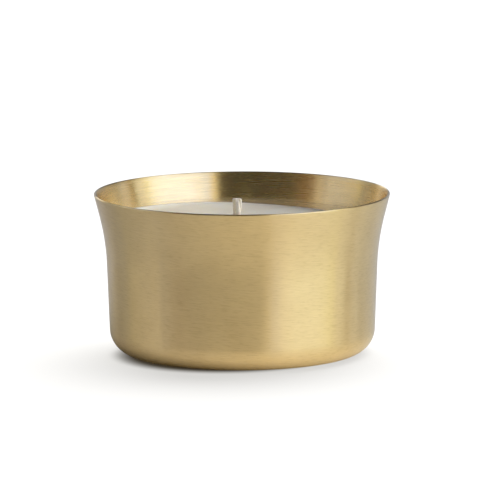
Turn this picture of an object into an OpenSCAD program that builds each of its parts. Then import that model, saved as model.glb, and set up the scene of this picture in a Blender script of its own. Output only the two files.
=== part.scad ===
// Candle tin: a spun brass cup with a flared rim, filled with wax round one plaited cotton wick.
// The wick stands in a stamped sustainer, which a foam sticker holds to the floor of the cup.
// Millimetres, +Z up. The origin is the centre of the ring that the tin stands on.

/* [Tin] */
// Diameter over the rim
rim_d = 80; // [78:0.5:84]
// Height from the table to the rim
tin_h = 43.6; // [42:0.2:50]
// Diameter of the wall's straight part, extended down to the table
wall_d = 71.3; // [69:0.1:73]
// Lean of the straight part of the wall, in degrees
wall_lean = 2.2; // [1:0.2:4]
// Lean of the wall at the rim, in degrees
rim_lean = 14.4; // [12:0.1:18]
// Radius of the flare between the two
flare_r = 63.8; // [50:0.2:66]
// Outer radius between the wall and the base
corner_r = 6.8; // [5:0.2:9]
// Thickness of the brass sheet
sheet_t = 0.6; // [0.4:0.1:1]
// Depth of the hollow pressed into the base
base_hollow = 0.5; // [0.2:0.1:1]

/* [Wax] */
// Depth of the wax surface below the rim
wax_drop = 8.9; // [7:0.1:14]
// Height that the wax climbs up the wall
wall_cling = 0.5; // [0.2:0.1:1]

/* [Wick] */
// Height of the wick above the wax
wick_trim = 7.3; // [5:0.1:12]
// Width of the flat plait
wick_w = 2.6; // [2.2:0.1:3]
// Distance of the wick from the tin's centre, towards -X
wick_offset = 1.3; // [0:0.1:3]
// Turn of the plait between the wax surface and its tip, in degrees clockwise from above
wick_turn = 40; // [0:2:60]

/* [Sustainer and sticker] */
// Diameter of the sustainer's base
sustainer_d = 20; // [16:0.5:24]
// Height of the sustainer's neck above its base
neck_h = 6; // [4:0.5:9]
// Diameter of the foam sticker
sticker_d = 19; // [14:0.5:22]
// Thickness of the foam sticker
sticker_t = 0.8; // [0.5:0.1:1.6]

/* [Hidden] */

arc_steps = 12;

// The corner between wall and base, and the ring that the tin stands on. The base rises inside the ring.
wall_r = wall_d / 2;
corner_c = [wall_r + corner_r * tan(wall_lean) - corner_r / cos(wall_lean), corner_r];
foot_w = 3.8;
foot_ramp = 2;
foot_in_r = corner_c.x - foot_w;
floor_z = base_hollow + sheet_t;

// The rounded lip, and the point on the outside where the straight top of the flare meets it.
lip_r = sheet_t / 2;
lip_c = [rim_d / 2 - lip_r, tin_h - lip_r];
lip_out = lip_c + lip_r * [cos(rim_lean), -sin(rim_lean)];
lip_in = lip_c - lip_r * [cos(rim_lean), -sin(rim_lean)];

// The flare starts where its arc, carried on by a straight part, reaches the lip.
flare_dr = flare_r * (cos(wall_lean) - cos(rim_lean));
flare_dz = flare_r * (sin(rim_lean) - sin(wall_lean));
flare_z = ((lip_out.y - flare_dz) * tan(rim_lean) + flare_dr + wall_r - lip_out.x)
    / (tan(rim_lean) - tan(wall_lean));
flare_c = [wall_r + flare_z * tan(wall_lean), flare_z] + flare_r * [cos(wall_lean), -sin(wall_lean)];

// The wax surface, which meets the wall at wax_r and climbs it over a few times cling_w.
wax_z = tin_h - wax_drop;
cling_w = 0.9;
cling_start = 5 * cling_w;
inner_flare_r = flare_r + sheet_t;
wax_r = flare_c.x - inner_flare_r * cos(asin((wax_z - flare_c.y) / inner_flare_r));
wax_past_wall = wax_r + 1;

// The plait is three round strands, each weaving from side to side and from front to back.
// Every size follows the width, so the strands keep the same small gaps at any width.
strand_r = 0.13 * wick_w;
plait_sway = wick_w / 2 - strand_r;
plait_depth = 0.225 * wick_w;
plait_pitch = 2.1 * wick_w;
plait_gap = 0.05 * wick_w;
strand_sides = 8;
rings_per_pitch = 12;

// The hole that the plait fills, in the wax and in the sustainer's neck.
hole_w = wick_w + 2 * plait_gap;
hole_t = 2 * (plait_depth + strand_r + plait_gap);

// The stack on the floor: the sticker, then the sustainer with a dished base and a crimped neck.
wick_z = floor_z + sticker_t;
wick_tip_z = wax_z + wick_trim;
ring_count = ceil((wick_tip_z - wick_z) / plait_pitch * rings_per_pitch);
sustainer_t = 0.3;
dish_rise = 0.5;
dish_in_r = 5;
dish_out_r = sustainer_d / 2 - 1.5;
dish_under = [[0, dish_rise], [dish_in_r, dish_rise], [dish_out_r, 0], [sustainer_d / 2, 0]];
dish_top = [
    [sustainer_d / 2, sustainer_t], [dish_out_r, sustainer_t],
    [dish_in_r, dish_rise + sustainer_t], [0, dish_rise + sustainer_t]
];
neck_w = hole_w + 2 * sustainer_t;
neck_t = hole_t + 2 * sustainer_t;
crimp_heights = [0.4, 0.7] * neck_h;
crimp_r = 0.8;
crimp_depth = 0.12;

// Points along an arc from angle a0 to angle a1.
function arc(c, r, a0, a1) =
    [for (i = [0:arc_steps]) let (a = a0 + (a1 - a0) * i / arc_steps) c + r * [cos(a), sin(a)]];

function reversed(points) = [for (i = [len(points) - 1:-1:0]) points[i]];

// The wall's outline from the foot to the lip, at a distance inset inside the outer face.
function wall_line(inset) = concat(
    arc(corner_c, corner_r - inset, -90, -wall_lean),
    arc(flare_c, flare_r + inset, 180 - wall_lean, 180 - rim_lean)
);

// The base's outline from the axis to the foot ring, at a height z above its lower face.
function floor_line(z) = [[0, z + base_hollow], [foot_in_r - foot_ramp, z + base_hollow], [foot_in_r, z]];

// Height of the wax surface at radius r.
function wax_height(r) = wax_z + wall_cling * exp((r - wax_r) / cling_w);

// The wax surface's outline from the axis to just inside the sheet.
function wax_line() = [
    for (r = [0, for (i = [0:arc_steps]) wax_r - cling_start * (1 - i / arc_steps), wax_past_wall])
        [r, wax_height(r)]
];

// The outline of a flat bar with round ends, w long and t thick.
function stadium(w, t) = concat(
    arc([(w - t) / 2, 0], t / 2, -90, 90), arc([(t - w) / 2, 0], t / 2, 90, 270)
);

// Turn of the plait at height z: none inside the wax, all of it at the tip.
function turn_at(z) = -wick_turn * max(0, (z - wax_z) / wick_trim);

// Centre of strand k of the plait at height z.
function strand_point(k, z) =
    let (a = 360 * (z - wick_z) / plait_pitch + 120 * k,
         x = plait_sway * sin(a), y = plait_depth * sin(2 * a), turn = turn_at(z))
    [x * cos(turn) - y * sin(turn) - wick_offset, x * sin(turn) + y * cos(turn), z];

// Direction of strand k at height z. Both cut ends are level, so they face straight up and down.
function strand_way(k, z) =
    z <= wick_z || z >= wick_tip_z ? [0, 0, 1]
    : let (step = strand_point(k, z + 0.01) - strand_point(k, z - 0.01)) step / norm(step);

// One ring of a strand round the point c, square to the direction way.
function ring(c, way) =
    let (side = cross([0, 1, 0], way), u = side / norm(side), v = cross(way, u))
    [for (i = [0:strand_sides - 1])
        let (a = 360 * i / strand_sides) c + strand_r * (cos(a) * u + sin(a) * v)];

// A closed tube through rings of equal size.
module tube(rings) {
    sides = len(rings[0]);
    last = (len(rings) - 1) * sides;
    polyhedron(
        points = [for (one = rings) for (p = one) p],
        faces = concat(
            [[for (i = [0:sides - 1]) i]],
            [for (j = [0:len(rings) - 2]) for (i = [0:sides - 1])
                let (a = j * sides, n = (i + 1) % sides)
                each [[a + i, a + sides + i, a + sides + n], [a + i, a + sides + n, a + n]]],
            [[for (i = [sides - 1:-1:0]) last + i]]
        )
    );
}

// Moves its children to the wick's place, at height z.
module at_wick(z) {
    translate([-wick_offset, 0, z]) children();
}

// The space that the plait fills, from its foot up past its tip.
module wick_hole() {
    at_wick(wick_z) linear_extrude(tin_h) polygon(stadium(hole_w, hole_t));
}

// The cup, spun from one disc of sheet: a hollowed base, a round corner, a flared wall and a smooth lip.
module tin_body() {
    color([0.72, 0.6, 0.36])
        rotate_extrude($fn = 180)
            polygon(concat(
                floor_line(0), wall_line(0), arc(lip_c, lip_r, -rim_lean, 180 - rim_lean),
                reversed(wall_line(sheet_t)), reversed(floor_line(sheet_t))
            ));
}

// The wax, cast in the cup round the sticker, the sustainer and the wick.
module wax_fill() {
    color([0.93, 0.92, 0.88])
        difference() {
            rotate_extrude($fn = 180)
                intersection() {
                    polygon(concat(floor_line(sheet_t), wall_line(sheet_t), [lip_in, [0, lip_in.y]]));
                    polygon(concat([[0, 0], [wax_past_wall, 0]], reversed(wax_line())));
                }
            at_wick(floor_z - 1) cylinder(d = sticker_d, h = sticker_t + 1, $fn = 96);
            at_wick(wick_z) {
                rotate_extrude($fn = 96)
                    polygon(concat([[0, 0], [sustainer_d / 2, 0]], dish_top));
                linear_extrude(dish_rise + neck_h) polygon(stadium(neck_w, neck_t));
            }
            wick_hole();
        }
}

// One strand of the plait.
module wick_strand(k) {
    color([0.9, 0.86, 0.77])
        tube([for (i = [0:ring_count])
            let (z = wick_z + (wick_tip_z - wick_z) * i / ring_count)
            ring(strand_point(k, z), strand_way(k, z))]);
}

// The stamped sustainer: a dished disc with a neck, crimped on to the wick at two heights.
module wick_sustainer() {
    color([0.75, 0.76, 0.78])
        difference() {
            at_wick(wick_z)
                difference() {
                    union() {
                        rotate_extrude($fn = 96) polygon(concat(dish_under, dish_top));
                        translate([0, 0, dish_rise])
                            linear_extrude(neck_h) polygon(stadium(neck_w, neck_t));
                    }
                    for (side = [-1, 1], z = crimp_heights)
                        translate([0, side * (neck_t / 2 + crimp_r - crimp_depth), dish_rise + z])
                            rotate([0, 90, 0]) cylinder(r = crimp_r, h = neck_w, center = true, $fn = 32);
                }
            wick_hole();
        }
}

// The double-sided foam disc under the sustainer.
module wick_sticker() {
    color([0.96, 0.96, 0.94])
        at_wick(floor_z) cylinder(d = sticker_d, h = sticker_t, $fn = 96);
}

tin_body();
wax_fill();
wick_strand(0);  // wick_strand_1
wick_strand(1);  // wick_strand_2
wick_strand(2);  // wick_strand_3
wick_sustainer();
wick_sticker();
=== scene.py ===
"""Candle tin: a spun brass cup, its wax and its plaited wick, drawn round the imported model.

Sizes are in millimetres until a mesh is made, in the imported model's frame: +Z up, the tin's axis at x = y = 0
and its foot at z = 0. The camera looks along +Y.
"""
import math

import bpy
import numpy as np
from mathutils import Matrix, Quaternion, Vector


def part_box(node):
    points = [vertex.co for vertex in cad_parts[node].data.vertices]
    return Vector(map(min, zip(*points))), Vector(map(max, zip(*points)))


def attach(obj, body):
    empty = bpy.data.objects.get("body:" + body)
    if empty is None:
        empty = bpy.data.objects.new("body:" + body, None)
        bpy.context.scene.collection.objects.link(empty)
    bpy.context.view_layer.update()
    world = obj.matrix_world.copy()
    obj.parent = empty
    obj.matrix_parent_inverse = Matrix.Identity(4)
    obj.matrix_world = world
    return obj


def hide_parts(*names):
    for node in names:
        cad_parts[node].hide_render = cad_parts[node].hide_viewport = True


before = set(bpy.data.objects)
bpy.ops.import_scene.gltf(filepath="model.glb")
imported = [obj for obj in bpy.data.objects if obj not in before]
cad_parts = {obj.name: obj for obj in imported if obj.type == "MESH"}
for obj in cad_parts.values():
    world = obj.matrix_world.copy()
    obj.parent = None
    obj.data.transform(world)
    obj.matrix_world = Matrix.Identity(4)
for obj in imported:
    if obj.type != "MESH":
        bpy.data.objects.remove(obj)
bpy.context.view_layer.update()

MM = 0.001


def box_mm(node):
    """The lowest and highest corners of a CAD node, in millimetres."""
    low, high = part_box(node)
    return np.array(low) / MM, np.array(high) / MM


# ---------------------------------------------------------------- sizes of the tin

tin_top = box_mm("tin_body")[1]
RIM_R = tin_top[0]
TIN_H = tin_top[2]
WALL_R = 35.65
WALL_LEAN = math.radians(2.2)
RIM_LEAN = math.radians(14.4)
FLARE_R = 63.8
CORNER_R = 6.8
SHEET = 0.6
BASE_HOLLOW = 0.5
FOOT_W = 3.8
FOOT_RAMP = 2.0

LIP_R = SHEET / 2
LIP_C = np.array([RIM_R - LIP_R, TIN_H - LIP_R])
CORNER_C = np.array([WALL_R + CORNER_R * math.tan(WALL_LEAN) - CORNER_R / math.cos(WALL_LEAN), CORNER_R])
FOOT_IN_R = CORNER_C[0] - FOOT_W

# The flare starts where its arc, carried on by a straight part, reaches the lip.
lip_out = LIP_C + LIP_R * np.array([math.cos(RIM_LEAN), -math.sin(RIM_LEAN)])
flare_dr = FLARE_R * (math.cos(WALL_LEAN) - math.cos(RIM_LEAN))
flare_dz = FLARE_R * (math.sin(RIM_LEAN) - math.sin(WALL_LEAN))
FLARE_Z = (
    (lip_out[1] - flare_dz) * math.tan(RIM_LEAN) + flare_dr + WALL_R - lip_out[0]
) / (math.tan(RIM_LEAN) - math.tan(WALL_LEAN))
FLARE_C = np.array([WALL_R + FLARE_Z * math.tan(WALL_LEAN), FLARE_Z]) + FLARE_R * np.array(
    [math.cos(WALL_LEAN), -math.sin(WALL_LEAN)]
)

# ---------------------------------------------------------------- sizes of the wax

WAX_Z = TIN_H - 8.9
WAX_TILT = -0.02
# The meniscus at the wall: its mean height, how far that swings round the tin, where it is highest, and
# its width. The wax reaches a hair into the sheet, so that no gap shows.
WALL_CLIMB, CLIMB_SWING, CLIMB_SIDE, WALL_CLIMB_W = 0.28, 0.5, math.radians(160), 1.1
BURY = 0.03
# The meniscus at the wick, and the wide shallow dip round it.
WICK_CLIMB, WICK_CLIMB_W = 0.55, 0.55
WICK_DIP, WICK_DIP_W = 0.18, 6
# The hole that the cotton fills, up to the meniscus, and the radius where the wax's underside turns down to
# the sticker.
HOLE_W, HOLE_T, HOLE_TOP = 2.1, 1.3, WAX_Z - 0.5
WAX_FLOOR_R = 12
# The wall carries a thin film of wax up to this height.
FILM_TOP, FILM_FADE = WAX_Z + 2.2, 1.2

# ---------------------------------------------------------------- sizes of the wick, sustainer and sticker

wick_low, wick_high = box_mm("wick_strand_1")
WICK_X = -1.3
WICK_Z = wick_low[2]
WICK_TIP_Z = wick_high[2]
WICK_TURN = math.radians(-40)
PLAIT_PITCH = 24
PLAIT_START = math.radians(135)
STRAND_SWAY, STRAND_DEPTH = 0.5, 0.42
STRAND_HALF_W, STRAND_HALF_T = 0.8, 0.52
PLIES, PLY_LAY, PLY_GROOVE = 5, 5.0, 0.08
TIP_ROUNDING, TIP_ROUNDING_H, TIP_DOME = 0.3, 0.35, 0.05

sticker_low, sticker_high = box_mm("wick_sticker")
disc_low, disc_high = box_mm("wick_sustainer")
DISC_SHEET, DISC_BRIM, DISH_RISE, DISH_R = 0.3, 1.5, 0.5, 5
NECK_W, NECK_T = 3.46, 2.71

# ---------------------------------------------------------------- meshes

CORNER_STEPS, FLARE_STEPS, LIP_STEPS = 36, 24, 14


def arc(centre, radius, start, end, steps):
    """Points along an arc in the profile's plane, from one angle to another, in degrees."""
    angles = np.radians(np.linspace(start, end, steps + 1))
    return centre + radius * np.stack([np.cos(angles), np.sin(angles)], 1)


def line(start, end, steps):
    """Points along a straight line, both ends left out."""
    return np.linspace(start, end, steps + 1)[1:-1]


def vertex_value(mesh, name, values):
    """Stores a number for each vertex of a mesh, for its material to read."""
    values = np.asarray(values, np.float32)
    mesh.attributes.new(name, "FLOAT", "POINT").data.foreach_set("value", values)


def loft(name, loops, ends=(None, None), ring=False):
    """A mesh through closed loops of equal length, in millimetres. ends are the points that close the
    first and the last loop, and ring joins the last loop to the first instead. The vertex value run is
    the distance along the loops, in millimetres."""
    loops = np.asarray(loops, float)
    count, around, _ = loops.shape
    points = [loops.reshape(-1, 3)]
    steps = np.linalg.norm(np.diff(loops, axis=0), axis=2).mean(1)
    run = [np.repeat(np.concatenate([[0], np.cumsum(steps)]), around)]
    here = np.arange(around)
    after = np.roll(here, -1)
    faces = []
    for j in range(count if ring else count - 1):
        a, b = j * around, (j + 1) % count * around
        faces += np.stack([a + here, a + after, b + after, b + here], 1).tolist()
    for row, point in ((0, ends[0]), (count - 1, ends[1])):
        if point is not None:
            tip = np.full(around, sum(len(p) for p in points))
            points.append(np.array([point], float))
            run.append([run[0][row * around]])
            first, second = (after, here) if row == 0 else (here, after)
            faces += np.stack([row * around + first, row * around + second, tip], 1).tolist()
    mesh = bpy.data.meshes.new(name)
    mesh.from_pydata((np.concatenate(points) * MM).tolist(), [], faces)
    vertex_value(mesh, "run", np.concatenate(run))
    mesh.shade_smooth()
    piece = bpy.data.objects.new(name, mesh)
    bpy.context.scene.collection.objects.link(piece)
    return piece


def circle(radius, z, around):
    """One level loop round the tin's axis."""
    angles = np.linspace(0, 2 * math.pi, around, endpoint=False)
    radius = np.broadcast_to(radius, around)
    return np.stack([radius * np.cos(angles), radius * np.sin(angles), np.broadcast_to(z, around)], 1)


def wick_circle(radius, z, around):
    """One level loop round the wick's axis."""
    return circle(radius, z, around) + [WICK_X, 0, 0]


def stadium(width, thickness, around):
    """A level loop with round ends round the wick's axis, its points spread evenly by angle."""
    angles = np.linspace(0, 2 * math.pi, around, endpoint=False)
    radius, reach = thickness / 2, (width - thickness) / 2
    c, s = np.cos(angles), np.sin(angles)
    flat = radius / np.maximum(np.abs(s), 1e-9)
    round_end = reach * np.abs(c) + np.sqrt(np.maximum(radius**2 - (reach * s) ** 2, 0))
    size = np.where(flat * np.abs(c) <= reach, flat, round_end)
    return np.stack([size * c + WICK_X, size * s, 0 * c], 1)


# ---------------------------------------------------------------- the cup


def wall_line(inset):
    """The wall's profile from the foot ring to the lip, at a distance inside the outer face."""
    lean, rim = math.degrees(WALL_LEAN), math.degrees(RIM_LEAN)
    corner = arc(CORNER_C, CORNER_R - inset, -90, -lean, CORNER_STEPS)
    flare = arc(FLARE_C, FLARE_R + inset, 180 - lean, 180 - rim, FLARE_STEPS)
    return np.concatenate([corner, line(corner[-1], flare[0], 12), flare])


def floor_line(height):
    """The base's profile from near the axis to the foot ring. The hollow's edge is a smooth ramp."""
    hollow_r = FOOT_IN_R - FOOT_RAMP
    radii = np.concatenate([np.linspace(0.5, hollow_r, 22), np.linspace(hollow_r, FOOT_IN_R, 11)[1:]])
    ramp = np.clip((FOOT_IN_R - radii) / FOOT_RAMP, 0, 1)
    return np.stack([radii, height + BASE_HOLLOW * ramp * ramp * (3 - 2 * ramp)], 1)


def make_cup():
    """The spun cup: one closed skin from the underside over the lip to the floor inside. The vertex value
    inside is 1 on the inner face, below the lip, and 0 elsewhere."""
    around = 360
    rim = math.degrees(RIM_LEAN)
    outer = np.concatenate([floor_line(0), wall_line(0)])
    lip = arc(LIP_C, LIP_R, -rim, 180 - rim, LIP_STEPS)
    inner = np.concatenate([floor_line(SHEET), wall_line(SHEET)])[::-1]
    over_lip = np.concatenate([outer, line(outer[-1], lip[0], 6), lip])
    profile = np.concatenate([over_lip, line(lip[-1], inner[0], 6), inner])
    ends = [0, 0, profile[0, 1]], [0, 0, profile[-1, 1]]
    cup = loft("brass_cup", [circle(r, z, around) for r, z in profile], ends)
    is_inner = np.arange(len(profile)) >= len(over_lip)
    vertex_value(cup.data, "inside", np.concatenate([np.repeat(is_inner, around), [False, True]]))
    return cup


inner_profile = np.concatenate([wall_line(SHEET), [[LIP_C[0] - LIP_R * math.cos(RIM_LEAN), TIN_H]]])


def inner_radius(z):
    """Radius of the cup's inner face at a height."""
    return np.interp(z, inner_profile[:, 1], inner_profile[:, 0])


# ---------------------------------------------------------------- the wax


def wall_climb(angle):
    """How far the wax climbs the wall at an angle round the tin: furthest at the back and left."""
    wobble = 0.10 * np.cos(3 * angle + 1.0) + 0.05 * np.cos(7 * angle)
    return WALL_CLIMB + CLIMB_SWING * np.cos(angle - CLIMB_SIDE) + wobble


def wax_height(x, y):
    """Height of the wax surface away from the wick."""
    gap = inner_radius(WAX_Z) - np.hypot(x, y)
    climb = wall_climb(np.arctan2(y, x)) * np.exp(-np.maximum(gap, 0) / WALL_CLIMB_W)
    ripple = 0.05 * np.sin(0.23 * x + 1.3) * np.sin(0.19 * y - 0.4) + 0.02 * np.sin(0.61 * x - 0.47 * y)
    return WAX_Z + WAX_TILT * x + climb + ripple


def wax_edge(around):
    """The loop where the wax surface meets the wall."""
    angles = np.linspace(0, 2 * math.pi, around, endpoint=False)
    wall_z = np.full(around, WAX_Z)
    for _ in range(4):
        wall_r = inner_radius(wall_z) + BURY
        wall_z = WAX_Z + WAX_TILT * wall_r * np.cos(angles) + wall_climb(angles)
    return circle(wall_r, wall_z, around)


def wax_surface(hole, edge):
    """Loops over the wax surface, from the wick out to the wall."""
    join = 0.85
    near_wick = join * np.linspace(0, 1, 36) ** 2.2
    near_wall = join + (1 - join) * np.linspace(0, 1, 20)[1:] ** 0.6
    loops = []
    for t in np.concatenate([near_wick, near_wall]):
        loop = hole * (1 - t) + edge * t
        away = np.hypot(loop[:, 0] - hole[:, 0], loop[:, 1] - hole[:, 1])
        climb = WICK_CLIMB * np.exp(-away / WICK_CLIMB_W)
        dip = WICK_DIP * np.exp(-((away / WICK_DIP_W) ** 2))
        loop[:, 2] = wax_height(loop[:, 0], loop[:, 1]) + climb - dip
        loops.append(loop)
    loops[-1][:, 2] = edge[:, 2]
    return loops


def wax_side(edge):
    """Loops down the wall, round the corner and in along the floor."""
    around = len(edge)
    loops = []
    for t in np.linspace(0, 1, 16)[1:]:
        z = edge[:, 2] + (CORNER_R - edge[:, 2]) * t
        loops.append(circle(inner_radius(z) + BURY, z, around))
    corner = wall_line(SHEET - BURY)[:CORNER_STEPS][::-3]
    loops += [circle(r, z, around) for r, z in corner]
    loops += [circle(r, z - BURY, around) for r, z in floor_line(SHEET)[::-1] if r > WAX_FLOOR_R]
    return loops


def wax_core(hole):
    """Loops round the sticker and the sustainer, then up the hole that the cotton fills."""
    around = len(hole)
    sticker_r = (sticker_high[0] - sticker_low[0]) / 2
    disc_r = (disc_high[0] - disc_low[0]) / 2
    disc_z, neck_top = disc_low[2], disc_high[2]
    dish_z = disc_z + DISH_RISE + DISC_SHEET
    loops = [wick_circle(sticker_r, z, around) for z in (sticker_low[2], disc_z)]
    loops += [wick_circle(disc_r, z, around) for z in (disc_z, disc_z + DISC_SHEET)]
    loops.append(wick_circle(disc_r - DISC_BRIM, disc_z + DISC_SHEET, around))
    loops.append(wick_circle(DISH_R, dish_z, around))
    neck = stadium(NECK_W, NECK_T, around)
    loops += [neck + [0, 0, z] for z in (dish_z, neck_top)]
    loops += [hole + [0, 0, z] for z in np.linspace(neck_top, HOLE_TOP, 12)]
    return loops


def make_wax():
    """The wax: a closed skin out over the surface, down the wall, in along the floor and back up the wick."""
    around = 288
    hole, edge = stadium(HOLE_W, HOLE_T, around), wax_edge(around)
    return loft("poured_wax", wax_surface(hole, edge) + wax_side(edge) + wax_core(hole), ring=True)


# ---------------------------------------------------------------- the wick


def turn_at(z):
    """Turn of the plait at a height: none inside the wax, all of it at the tip."""
    return WICK_TURN * np.maximum(0, (z - WAX_Z) / (WICK_TIP_Z - WAX_Z))


def strand_centre(z, theta):
    """Centre line of a strand at the heights z and the plait angles theta."""
    x, y, turn = STRAND_SWAY * np.sin(theta), STRAND_DEPTH * np.sin(2 * theta), turn_at(z)
    across = x * np.cos(turn) - y * np.sin(turn)
    deep = x * np.sin(turn) + y * np.cos(turn)
    return np.stack([across + WICK_X, deep, z], 1)


def ply_sizes(z, angles):
    """Relative size of a strand's section at the heights z and the angles round it: twisted plies, and a
    rounded tip."""
    twist = 2 * math.pi * z / PLY_LAY
    lobes = np.abs(np.cos((angles[None] - twist[:, None]) * PLIES / 2))
    near_tip = np.clip(1 - (WICK_TIP_Z - z) / TIP_ROUNDING_H, 0, 1)
    return (1 - PLY_GROOVE + PLY_GROOVE * lobes**0.8) * (1 - TIP_ROUNDING * near_tip**2)[:, None]


def make_strand(k):
    """One strand of the plait: a flattened, twisted bundle of plies that weaves from side to side."""
    around, step = 40, 0.02
    z = np.linspace(WICK_Z, WICK_TIP_Z, 330)
    theta = 2 * math.pi * ((z - (WAX_Z + WICK_TIP_Z) / 2) / PLAIT_PITCH + k / 3) + PLAIT_START
    path = strand_centre(z, theta)
    way = strand_centre(z + step, theta + 2 * math.pi * step / PLAIT_PITCH) - path
    way /= np.linalg.norm(way, axis=1)[:, None]
    way[0] = way[-1] = [0, 0, 1]
    turn = turn_at(z)
    front = np.stack([-np.sin(turn), np.cos(turn), 0 * z], 1)
    thick = front - (front * way).sum(1)[:, None] * way
    thick /= np.linalg.norm(thick, axis=1)[:, None]
    wide = np.cross(thick, way)
    angles = np.linspace(0, 2 * math.pi, around, endpoint=False)
    size = ply_sizes(z, angles)
    across = STRAND_HALF_W * np.cos(angles) * size
    through = STRAND_HALF_T * np.sin(angles) * size
    loops = path[:, None] + across[..., None] * wide[:, None] + through[..., None] * thick[:, None]
    return loft(f"cotton_strand_{k + 1}", loops, (path[0], path[-1] + [0, 0, TIP_DOME]))


# ---------------------------------------------------------------- materials


class Nodes:
    """A small helper that adds nodes to a material and links them."""

    def __init__(self, name):
        self.material = bpy.data.materials.new(name)
        self.material.use_nodes = True
        self.tree = self.material.node_tree
        self.shader = self.tree.nodes["Principled BSDF"]

    def add(self, kind, inputs=None, **settings):
        node = self.tree.nodes.new("ShaderNode" + kind)
        for key, value in settings.items():
            setattr(node, key, value)
        for key, value in (inputs or {}).items():
            self.put(node.inputs[key], value)
        return node

    def put(self, socket, value):
        if isinstance(value, bpy.types.NodeSocket):
            self.tree.links.new(value, socket)
        else:
            socket.default_value = value

    def math(self, operation, *values):
        node = self.add("Math", operation=operation)
        for socket, value in zip(node.inputs, values):
            self.put(socket, value)
        return node.outputs[0]

    def noise(self, vector, scale, detail=2.0):
        node = self.add("TexNoise", {"Vector": vector, "Scale": scale, "Detail": detail, "Roughness": 0.5})
        return node.outputs["Fac"]

    def remap(self, value, low, high, to_low=0.0, to_high=1.0):
        node = self.add("MapRange", {"Value": value, 1: low, 2: high, 3: to_low, 4: to_high})
        return node.outputs["Result"]

    def mix(self, factor, a, b):
        node = self.add("Mix", data_type="RGBA")
        self.put(node.inputs[0], factor)
        self.put(node.inputs[6], a)
        self.put(node.inputs[7], b)
        return node.outputs[2]

    def bump(self, height, strength, depth):
        """Surface relief, its depth in millimetres."""
        node = self.add("Bump", {"Height": height, "Strength": strength, "Distance": depth * MM})
        self.set(Normal=node.outputs[0])

    def set(self, **values):
        for key, value in values.items():
            self.put(self.shader.inputs[key.replace("_", " ")], value)


def brass_material():
    """Satin brass, brushed on the lathe: fine marks run round the cup with a slight slope, longer and level
    ones inside. A thin film of wax dulls the inner wall just above the wax."""
    wall_r, mark_slope = 37, 2.8
    m = Nodes("brushed_brass")
    place = m.add("TexCoord").outputs["Object"]
    split = m.add("SeparateXYZ", {0: place})
    flat = m.add("CombineXYZ", {"X": split.outputs["X"], "Y": split.outputs["Y"]}).outputs[0]
    round_way = m.add("VectorMath", {0: flat}, operation="NORMALIZE").outputs[0]
    unit = m.add("SeparateXYZ", {0: round_way})
    inside = m.add("Attribute", attribute_name="inside").outputs["Fac"]
    slant = m.math("MULTIPLY", unit.outputs["X"], m.remap(inside, 0.0, 1.0, mark_slope, 0.0))
    run = m.math("ADD", m.add("Attribute", attribute_name="run").outputs["Fac"], slant)

    def streaks(length, width, detail):
        """Noise stretched round the cup: length and width in millimetres."""
        x = m.math("MULTIPLY", unit.outputs["X"], wall_r / length)
        y = m.math("MULTIPLY", unit.outputs["Y"], wall_r / length)
        z = m.math("MULTIPLY", run, 1 / width)
        at = m.add("CombineXYZ", {"X": x, "Y": y, "Z": z}).outputs[0]
        return m.noise(at, 1.0, detail)

    fine = streaks(6, 0.12, 2.0)
    short = streaks(2.0, 0.28, 1.0)
    long = m.math("MULTIPLY", m.math("SUBTRACT", streaks(18, 0.35, 2.0), 0.5), inside)
    blotch = m.noise(place, 150.0, 1.0)
    faint_marks = m.math("MULTIPLY", m.math("SUBTRACT", 0.5, short), 0.4)
    marks = m.math("MULTIPLY_ADD", m.remap(short, 0.44, 0.30), 0.15, faint_marks)
    marks = m.math("MULTIPLY", marks, m.remap(inside, 0.0, 1.0, 1.0, 0.2))
    tone = m.math("MULTIPLY_ADD", fine, 0.6, m.math("MULTIPLY", blotch, 0.36))
    tone = m.math("SUBTRACT", m.math("MULTIPLY_ADD", long, 0.85, tone), marks)
    shade = m.remap(tone, -0.02, 0.98)
    colour = m.mix(shade, (0.70, 0.53, 0.25, 1), (0.92, 0.73, 0.375, 1))
    above_wax = m.remap(split.outputs["Z"], FILM_TOP * MM, (FILM_TOP - FILM_FADE) * MM)
    film = m.math("MULTIPLY", above_wax, inside)
    m.set(Metallic=m.remap(film, 0.0, 1.0, 1.0, 0.65))
    m.set(Base_Color=colour, Anisotropic=1.0, Anisotropic_Rotation=0.25)
    smoother = m.remap(inside, 0.0, 1.0, 1.0, 0.85)
    m.set(Roughness=m.math("MULTIPLY", m.remap(tone, -0.02, 0.98, 0.34, 0.29), smoother))
    m.set(Tangent=m.add("Tangent", direction_type="RADIAL", axis="Z").outputs[0])
    m.bump(m.math("MULTIPLY_ADD", short, 0.8, fine), 0.25, 0.02)
    return m.material


def wax_material():
    """Off-white wax: cloudy, a little see-through, with a soft shine."""
    m = Nodes("candle_wax")
    place = m.add("TexCoord").outputs["Object"]
    cloud = m.noise(place, 90.0, 3.0)
    frost = m.noise(place, 900.0, 3.0)
    colour = m.mix(m.remap(cloud, 0.3, 0.7), (0.92, 0.83, 0.61, 1), (0.97, 0.89, 0.67, 1))
    m.set(Base_Color=colour, Roughness=m.remap(frost, 0.3, 0.7, 0.38, 0.52))
    m.set(Subsurface_Weight=0.35, Subsurface_Radius=(2.4, 1.9, 1.4), Subsurface_Scale=MM, IOR=1.44)
    m.bump(frost, 0.12, 0.05)
    return m.material


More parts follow.
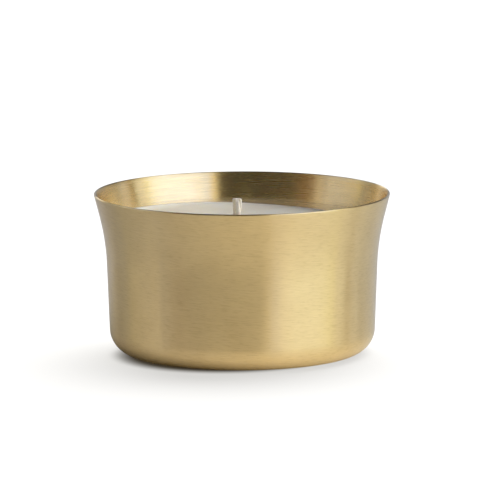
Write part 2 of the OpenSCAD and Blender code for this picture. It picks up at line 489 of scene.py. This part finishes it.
def wick_material():
    """Cotton yarn soaked in wax."""
    m = Nodes("waxed_cotton")
    place = m.add("TexCoord").outputs["Object"]
    fibre = m.add("Mapping", {"Vector": place, "Scale": (9000, 9000, 1500)}).outputs[0]
    fuzz = m.noise(fibre, 1.0, 3.0)
    colour = m.mix(m.remap(fuzz, 0.3, 0.7), (0.87, 0.76, 0.56, 1), (0.98, 0.90, 0.70, 1))
    m.set(Base_Color=colour, Roughness=m.remap(fuzz, 0.3, 0.7, 0.5, 0.7), Sheen_Weight=0.15)
    m.set(Subsurface_Weight=0.3, Subsurface_Radius=(0.6, 0.5, 0.35), Subsurface_Scale=MM)
    m.bump(fuzz, 0.4, 0.03)
    return m.material


def tinplate_material():
    """Dull tin-plated steel with fine rolling marks."""
    m = Nodes("tinned_steel")
    place = m.add("TexCoord").outputs["Object"]
    rolled = m.add("Mapping", {"Vector": place, "Scale": (300, 6000, 300)}).outputs[0]
    marks = m.noise(rolled, 1.0, 3.0)
    spots = m.noise(place, 700.0)
    colour = m.mix(m.remap(marks, 0.3, 0.7), (0.60, 0.61, 0.62, 1), (0.74, 0.75, 0.77, 1))
    m.set(Base_Color=colour, Metallic=1.0, Roughness=m.remap(spots, 0.3, 0.7, 0.28, 0.42))
    m.bump(marks, 0.15, 0.02)
    return m.material


def foam_material():
    """White closed-cell foam."""
    m = Nodes("sticker_foam")
    place = m.add("TexCoord").outputs["Object"]
    cells = m.add("TexVoronoi", {"Vector": place, "Scale": 5000.0}).outputs["Distance"]
    colour = m.mix(m.remap(cells, 0.0, 0.6), (0.93, 0.93, 0.91, 1), (0.80, 0.80, 0.78, 1))
    m.set(Base_Color=colour, Roughness=0.85)
    m.bump(cells, 0.3, 0.05)
    return m.material


# ---------------------------------------------------------------- the object

brass = brass_material()
wax = wax_material()
cotton = wick_material()


def place_piece(piece, material, node):
    """Gives a piece its material, hangs it on the root body and hides the CAD node that it stands for."""
    piece.data.materials.append(material)
    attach(piece, "root")
    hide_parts(node)


place_piece(make_cup(), brass, "tin_body")
place_piece(make_wax(), wax, "wax_fill")
for k in range(3):
    place_piece(make_strand(k), cotton, f"wick_strand_{k + 1}")

for node, material, slot in (
    ("wick_sustainer", tinplate_material(), "tinned_steel"),
    ("wick_sticker", foam_material(), "foam"),
):
    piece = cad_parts[node]
    piece.data.materials.clear()
    piece.data.materials.append(material)

# ---------------------------------------------------------------- nodes for the floors and the sky


def add_node(tree, kind, *inputs, **settings):
    """Adds a node to a floor or the sky, with values or links for its first inputs. Returns its outputs."""
    node = tree.nodes.new("ShaderNode" + kind)
    for key, value in settings.items():
        setattr(node, key, value)
    for socket, value in zip(node.inputs, inputs):
        if isinstance(value, bpy.types.NodeSocket):
            tree.links.new(value, socket)
        else:
            socket.default_value = value
    return node.outputs


def calc(tree, operation, *values):
    """A number worked out from others."""
    return add_node(tree, "Math", *values, operation=operation)["Value"]


def calc_vector(tree, operation, *values):
    """A vector or colour worked out from others."""
    return add_node(tree, "VectorMath", *values, operation=operation)["Vector"]


def dot(tree, a, b):
    """The dot product of two vectors."""
    return add_node(tree, "VectorMath", a, b, operation="DOT_PRODUCT")["Value"]


def soft_step(tree, value, start, end):
    """A smooth step from 0 at start to 1 at end, which may be the lower of the two."""
    return add_node(tree, "MapRange", value, start, end, interpolation_type="SMOOTHSTEP")["Result"]


# ---------------------------------------------------------------- floors


def floor_sheet(name, height):
    """A large level sheet a little under the tin, with an empty material. Returns it and its material's
    node tree."""
    size = 3.0
    mesh = bpy.data.meshes.new(name)
    corners = [(-size, -size, 0), (size, -size, 0), (size, size, 0), (-size, size, 0)]
    mesh.from_pydata(corners, [], [(0, 1, 2, 3)])
    sheet = bpy.data.objects.new(name, mesh)
    sheet.location.z = height * MM
    bpy.context.scene.collection.objects.link(sheet)
    material = bpy.data.materials.new(name)
    material.use_nodes = True
    material.node_tree.nodes.remove(material.node_tree.nodes["Principled BSDF"])
    mesh.materials.append(material)
    return sheet, material.node_tree


def painted_contact_shadow(tree, place, left, front, start, end):
    """A mask for painted contact shadow: 0 where the tin keeps the light off the floor round its foot, 1
    further out.
    Both edges are circles, moved to the left and to the front, in millimetres."""
    off_centre = calc_vector(tree, "ADD", place, (left * MM, front * MM, 0))
    reach = add_node(tree, "VectorMath", off_centre, operation="LENGTH")["Value"]
    return soft_step(tree, reach, start * MM, end * MM)


def paint_floor(tree, colour, glow_colour):
    """A matt surface that also glows."""
    paint = add_node(tree, "BsdfDiffuse", colour)["BSDF"]
    glow = add_node(tree, "Emission", glow_colour)["Emission"]
    both = add_node(tree, "AddShader", paint, glow)["Shader"]
    tree.links.new(both, tree.nodes["Material Output"].inputs["Surface"])


def seen_floor():
    """The plain pale floor that the camera sees. It glows, so that the tin's shadow on it stays light, and its
    glow falls to a dark brown painted contact shadow round the tin's foot.
    """
    sheet, tree = floor_sheet("studio_floor", height=-0.02)
    sheet.visible_diffuse = sheet.visible_glossy = sheet.visible_shadow = False
    place = add_node(tree, "TexCoord")["Object"]
    shade = painted_contact_shadow(tree, place, left=5.5, front=5, start=23.5, end=31.5)
    # Painted contact shadow: the glow goes from pale to dark brown round the foot.
    glow = calc_vector(tree, "MULTIPLY_ADD", (0.61, 0.61, 0.60), shade, (0.05, 0.04, 0.025))
    paint_floor(tree, (0.05, 0.05, 0.05, 1), glow)


def painted_glow_fan(tree, place, azimuth, lift):
    """(lift + cosine)^2 of the angle round the tin between a place on the floor and an azimuth in degrees: the
    weight of a painted glow.
    """
    towards = (math.sin(math.radians(azimuth)), -math.cos(math.radians(azimuth)), 0)
    facing = dot(tree, calc_vector(tree, "NORMALIZE", place), towards)
    return calc(tree, "POWER", calc(tree, "ADD", facing, lift), 2.0)


def mirrored_floor():
    """The same floor as the tin mirrors it: white, with a painted glow that is brightest in front of the tin
    and to its right, and a painted contact shadow round the foot that darkens both the glow and the paint to a
    warm brown.
    """
    sheet, tree = floor_sheet("floor_bounce", height=-0.04)
    sheet.visible_camera = False
    place = add_node(tree, "TexCoord")["Object"]
    # Painted light: two fans of glow, one in front of the tin and one to its right.
    front, right = painted_glow_fan(tree, place, azimuth=15, lift=1.15), painted_glow_fan(tree, place, azimuth=124, lift=1.0)
    right_glow = calc_vector(tree, "MULTIPLY", (0.064, 0.067, 0.066), right)
    glow = calc_vector(tree, "MULTIPLY_ADD", (0.099, 0.087, 0.057), front, right_glow)
    # Painted contact shadow round the foot, in the glow and in the paint, which turns a dark warm brown there.
    shade = painted_contact_shadow(tree, place, left=2.4, front=-1.2, start=30.2, end=39.5)
    paint = calc_vector(tree, "MULTIPLY_ADD", (0.65, 0.65, 0.65), shade, (0.25, 0.22, 0.18))
    paint_floor(tree, paint, calc_vector(tree, "MULTIPLY", glow, shade))


# ---------------------------------------------------------------- lights, sky and camera


def soft_sun(name, azimuth, elevation, energy, angle, pieces):
    """A broad soft light that falls on the named pieces alone. Angles are in degrees."""
    azimuth, elevation = math.radians(azimuth), math.radians(elevation)
    light = bpy.data.lights.new(name, "SUN")
    light.energy, light.angle = energy, math.radians(angle)
    lamp = bpy.data.objects.new(name, light)
    level = math.cos(elevation)
    back = Vector((math.sin(azimuth) * level, -math.cos(azimuth) * level, math.sin(elevation)))
    lamp.rotation_euler = back.to_track_quat("Z", "Y").to_euler()
    bpy.context.scene.collection.objects.link(lamp)
    lit = bpy.data.collections.new(f"lit_by_{name}")
    for piece in pieces:
        lit.objects.link(bpy.data.objects[piece])
    lamp.light_linking.receiver_collection = lit


PANELS = (
    # what it is, azimuths from and to, softness of those two edges, elevations from and to, colour
    ("key light's front edge, low", 31.5, 40, 5, 3, -6, 15, (1.2, 1.12, 0.2)),
    ("key light's rim, high", 21.3, 27, 3, 2, 15, 45, (2.0, 1.8, 1.4)),
    ("key light's front edge, high", 27, 40, 2, 3, 15, 45, (1.9, 2.2, 3.7)),
    ("key light, low", 40, 85, 3, 3, -6, 15, (1.58, 1.75, 0.6)),
    ("key light, high", 40, 85, 3, 3, 15, 45, (1.85, 2.1, 4.2)),
    ("key light's far edge, low", 85, 98, 3, 1, -6, 15, (1.2, 1.35, 1.5)),
    ("key light's far edge, high", 85, 98, 3, 1, 15, 45, (1.45, 1.4, 1.65)),
    ("post beside the key light", 98, 105, 1, 1, -6, 45, (0.4, 0.35, 0.25)),
    ("back light at the right, low", 105, 118, 1, 3, -6, 15, (0.85, 0.92, 1.2)),
    ("back light at the right, high", 105, 118, 1, 3, 15, 45, (0.52, 0.42, 0.3)),
    ("back wall at the right", 118, 142, 3, 5, -6, 15, (0.42, 0.44, 0.55)),
    ("backdrop at the right", 142, 180, 5, 5, -6, 15, (0.4, 0.46, 0.6)),
    ("backdrop at the left", 180, 218, 5, 5, -6, 15, (0.3, 0.3, 0.32)),
    ("gap beside the backdrop", 192, 218, 4, 4, 8, 22, (1.6, 1.6, 1.6)),
    ("back wall at the left, low", 218, 247, 5, 1.5, -6, 15, (0.46, 0.38, 0.24)),
    ("back wall at the left, high", 218, 247, 5, 1.5, 15, 40, (0.72, 0.85, 1.1)),
    ("fill light, low", 247, 286, 1.5, 1, -6, 15, (0.8, 0.64, 0.2)),
    ("fill light, high", 247, 284, 1.5, 3, 15, 45, (0.8, 0.93, 1.5)),
    ("fill light's front edge, high", 284, 295, 3, 0.8, 15, 45, (1.0, 0.9, 0.85)),
    ("wall in front of the fill light", 295, 310, 0.8, 5, 15, 45, (0.17, 0.06, 0.0)),
    ("front wall at the left", 310, 345, 5, 5, 15, 45, (0.03, 0.02, 0.02)),
    ("ceiling at the right", 30, 150, 5, 5, 45, 65, (0.8, 0.85, 0.5)),
)
PANEL_BLUR = math.radians(2)


def between_azimuths(tree, way, start, end, start_soft, end_soft):
    """1 between two azimuths and 0 elsewhere, with a softness for each edge, all in degrees. Azimuth 0 is the
    camera's side, and positive is to its right."""
    middle, half = math.radians(start + end) / 2, math.radians(end - start) / 2
    start_soft, end_soft = math.radians(start_soft), math.radians(end_soft)
    ahead = dot(tree, way, (math.sin(middle), -math.cos(middle), 0))
    aside = dot(tree, way, (math.cos(middle), math.sin(middle), 0))
    off = calc(tree, "ARCTAN2", aside, ahead)
    past_start = soft_step(tree, off, -half - start_soft, -half + start_soft)
    before_end = soft_step(tree, off, half + end_soft, half - end_soft)
    return calc(tree, "MULTIPLY", past_start, before_end)


def between_elevations(tree, height, low, high):
    """1 between two elevations in degrees and 0 elsewhere, with blurred edges."""
    low, high = math.radians(low), math.radians(high)
    above = soft_step(tree, height, low - PANEL_BLUR, low + PANEL_BLUR)
    below = soft_step(tree, height, high + PANEL_BLUR, high - PANEL_BLUR)
    return calc(tree, "MULTIPLY", above, below)


def studio_world():
    """A dark room with soft light panels, as the tin sees it, and plain white for the camera."""
    world = bpy.data.worlds.new("studio")
    world.use_nodes = True
    tree = world.node_tree
    tree.nodes.clear()
    way = add_node(tree, "TexCoord")["Generated"]
    height = calc(tree, "ARCSINE", add_node(tree, "SeparateXYZ", way)["Z"])
    total = (0, 0, 0)
    for _, start, end, start_soft, end_soft, low, high, colour in PANELS:
        across = between_azimuths(tree, way, start, end, start_soft, end_soft)
        level = calc(tree, "MULTIPLY", across, between_elevations(tree, height, low, high))
        total = calc_vector(tree, "MULTIPLY_ADD", colour, level, total)
    lit = add_node(tree, "Background", total)["Background"]
    seen = add_node(tree, "Background", (1, 1, 1, 1))["Background"]
    for_camera = add_node(tree, "LightPath")["Is Camera Ray"]
    add_node(tree, "OutputWorld", add_node(tree, "MixShader", for_camera, lit, seen)["Shader"])
    bpy.context.scene.world = world


def studio_camera():
    """A long lens a little above the tin, in front of it."""
    distance, view_width = 2.0, 129.84 * MM
    elevation, roll = math.radians(8.84), math.radians(0.18)
    target = Vector((-0.565, 0, 30.64)) * MM
    camera = bpy.data.cameras.new("camera")
    camera.sensor_width = 36.0
    camera.lens = camera.sensor_width * distance / view_width
    camera.clip_start, camera.clip_end = 0.1, 20.0
    eye = bpy.data.objects.new("camera", camera)
    back = Vector((0, -math.cos(elevation), math.sin(elevation)))
    eye.location = target + back * distance
    level = back.to_track_quat("Z", "Y")
    eye.rotation_euler = (level @ Quaternion((0, 0, 1), -roll)).to_euler()
    bpy.context.scene.collection.objects.link(eye)
    bpy.context.scene.camera = eye


seen_floor()
mirrored_floor()
strand_names = [f"cotton_strand_{k + 1}" for k in range(3)]
soft_sun("floor_light", azimuth=162, elevation=50, energy=38.0, angle=75, pieces=["studio_floor"])
wax_and_wick = ["poured_wax", *strand_names]
soft_sun("wax_light", azimuth=95, elevation=33, energy=1.75, angle=50, pieces=wax_and_wick)
studio_world()
studio_camera()
bpy.context.scene.view_settings.view_transform = "Standard"
